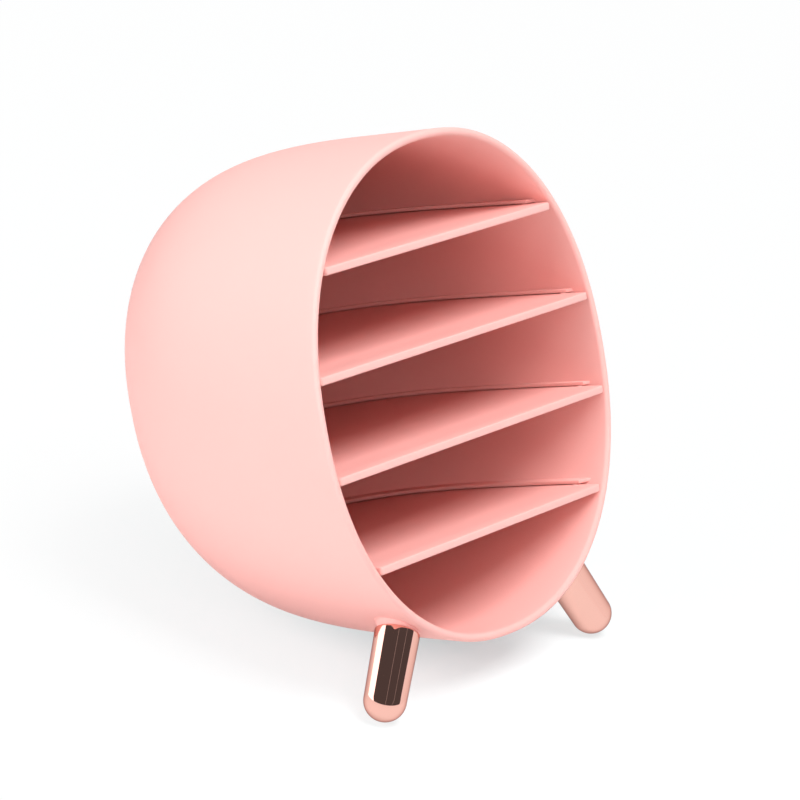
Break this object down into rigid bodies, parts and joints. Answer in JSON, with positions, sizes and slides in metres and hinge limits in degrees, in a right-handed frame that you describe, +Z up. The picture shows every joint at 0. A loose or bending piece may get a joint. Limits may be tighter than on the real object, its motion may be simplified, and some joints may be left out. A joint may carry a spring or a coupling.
{
  "type": "countertop organizer",
  "caption": "Deep round bowl lying on its side as a countertop organizer, leaning back on two plated legs, with loose shelves that slide on rails inside.",
  "frame": {"origin": "on the counter plane, in the middle of the object's outer box", "axes": "+X to the right of someone who looks into the mouth, +Y from the mouth towards the closed back, +Z up"},
  "size_m": [0.1902, 0.1734, 0.1919],
  "materials": {
    "bowl": "moulded matte pink plastic",
    "shelf": "moulded satin pink plastic",
    "leg": "mirror rose gold plating",
    "stud": "zinc plated steel",
    "insert": "plain turned brass",
    "pad": "soft matte silicone"
  },
  "bodies": {
    "bowl": {"bowl_shell": "bowl", "leg_left": "leg", "leg_right": "leg", "leg_stud_left": "stud", "leg_stud_right": "stud", "collar_insert_left": "insert", "collar_insert_right": "insert", "rear_pad": "pad"},
    "shelf_1": {"shelf_1": "shelf"},
    "shelf_2": {"shelf_2": "shelf"},
    "shelf_3": {"shelf_3": "shelf"},
    "shelf_4": {"shelf_4": "shelf"}
  },
  "joints": [
    {"name": "shelf_1_slide", "type": "slide", "parent": "bowl", "child": "shelf_1", "axis": [0, -0.9295, 0.3688], "range_m": [0, 0.025]},
    {"name": "shelf_2_slide", "type": "slide", "parent": "bowl", "child": "shelf_2", "axis": [0, -0.9295, 0.3688], "range_m": [0, 0.025]},
    {"name": "shelf_3_slide", "type": "slide", "parent": "bowl", "child": "shelf_3", "axis": [0, -0.9295, 0.3688], "range_m": [0, 0.025]},
    {"name": "shelf_4_slide", "type": "slide", "parent": "bowl", "child": "shelf_4", "axis": [0, -0.9295, 0.3688], "range_m": [0, 0.025]}
  ]
}
